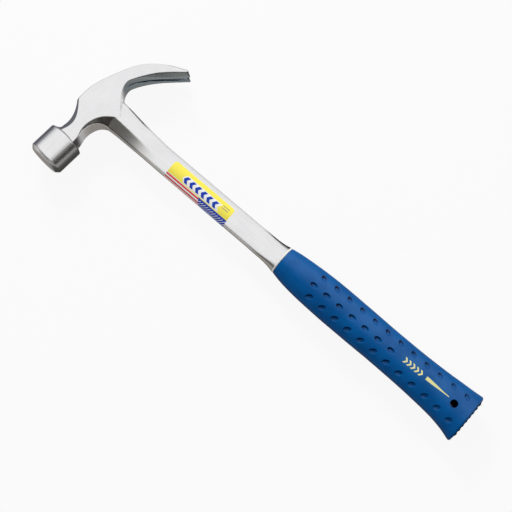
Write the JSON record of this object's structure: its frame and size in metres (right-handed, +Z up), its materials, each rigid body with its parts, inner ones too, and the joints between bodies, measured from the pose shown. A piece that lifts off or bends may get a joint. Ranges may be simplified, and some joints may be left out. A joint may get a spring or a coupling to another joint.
{
  "type": "claw hammer",
  "caption": "Curved-claw framing hammer: one-piece forged steel head and shank with a moulded blue vinyl grip.",
  "frame": {"origin": "on the bench under the middle of the bounding box, with the hammer lying on its side", "axes": "+X up the handle from the butt to the head, +Y the way the striking face looks, +Z up out of the cheek"},
  "size_m": [0.4064, 0.1326, 0.032],
  "materials": {
    "forged_steel": "polished and lacquered forging, finely brushed",
    "vinyl_grip": "satin moulded vinyl with small oval dimples",
    "label_film": "glossy printed film"
  },
  "bodies": {
    "root": {"head_shank_forging": "forged_steel", "grip_sleeve": "vinyl_grip", "shank_label": "label_film"}
  },
  "joints": []
}
